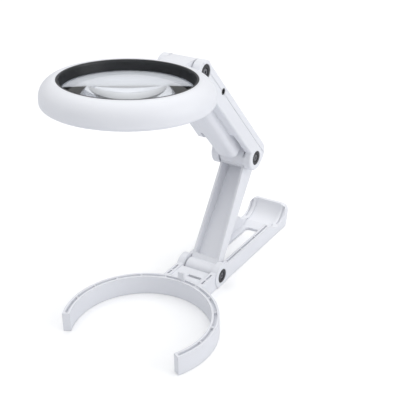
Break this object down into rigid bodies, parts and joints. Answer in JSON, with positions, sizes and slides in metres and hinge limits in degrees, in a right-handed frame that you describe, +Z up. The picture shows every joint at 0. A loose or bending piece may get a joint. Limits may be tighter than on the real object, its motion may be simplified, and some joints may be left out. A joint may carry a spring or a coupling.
{
  "type": "low vision magnifier",
  "caption": "Folding table magnifier with a large round lens, a lamp ring under the lens, two friction-hinged arms and a C-shaped foot.",
  "frame": {"origin": "centre of the bounding box at its lowest face, on the table", "axes": "+Y towards the cradle end of the foot, away from the reader; +X across, on the reader's right; +Z up"},
  "size_m": [0.1374, 0.3082, 0.2375],
  "materials": {
    "white_shell": "fine satin moulding",
    "black_trim": "satin",
    "bezel_black": "semi-gloss",
    "clear_lens": "polished clear acrylic",
    "bolt_steel": "machined",
    "spring_steel": "bright nickel plate",
    "washer_nylon": "plain",
    "cell_jacket": "printed film",
    "circuit_board": "solder mask",
    "led_yellow": "phosphor",
    "button_grey": "dark fine texture"
  },
  "bodies": {
    "base": {"base_frame": "white_shell", "base_hinge_caps": "black_trim", "base_pivot_bolt": "bolt_steel", "base_pivot_nut": "bolt_steel", "base_hinge_washers": "washer_nylon"},
    "lower_link": {"lower_arm": "white_shell"},
    "upper_link": {"arm_back_shell": "white_shell", "arm_front_shell": "white_shell", "arm_screws": "bolt_steel", "battery_cells": "cell_jacket", "battery_springs": "spring_steel", "battery_plates": "spring_steel", "dc_socket": "black_trim", "switch_board": "circuit_board", "switch_body": "black_trim", "elbow_hinge_caps": "black_trim", "elbow_pivot_bolt": "bolt_steel", "elbow_pivot_nut": "bolt_steel", "elbow_hinge_washers": "washer_nylon", "head_hinge_caps": "black_trim", "head_pivot_bolt": "bolt_steel", "head_pivot_nut": "bolt_steel", "head_hinge_washers": "washer_nylon"},
    "lens_head": {"head_shell": "white_shell", "lens_bezel": "bezel_black", "main_lens": "clear_lens", "head_cover": "white_shell", "led_board": "circuit_board", "leds": "led_yellow", "head_screws": "bolt_steel"},
    "button": {"power_button": "button_grey"},
    "door": {"battery_door": "white_shell"}
  },
  "joints": [
    {"name": "base_fold", "type": "hinge", "parent": "base", "child": "lower_link", "pos_m": [0, 0.01489, 0.0097], "axis": [1, 0, 0], "range_deg": [-47.2, 36]},
    {"name": "elbow_fold", "type": "hinge", "parent": "lower_link", "child": "upper_link", "pos_m": [0, 0.0802, 0.1061], "axis": [-1, 0, 0], "range_deg": [-44, 72.3]},
    {"name": "head_tilt", "type": "hinge", "parent": "upper_link", "child": "lens_head", "pos_m": [0, -0.00827, 0.21837], "axis": [1, 0, 0], "range_deg": [-48, 42]},
    {"name": "button_press", "type": "slide", "parent": "upper_link", "child": "button", "axis": [0, -0.7498, -0.6617], "range_m": [0, 0.0015], "stiffness_N_per_m": 800, "springref_m": -0.0003},
    {"name": "door_lift", "type": "slide", "parent": "upper_link", "child": "door", "axis": [0, 0.7498, 0.6617], "range_m": [0, 0.02]}
  ]
}
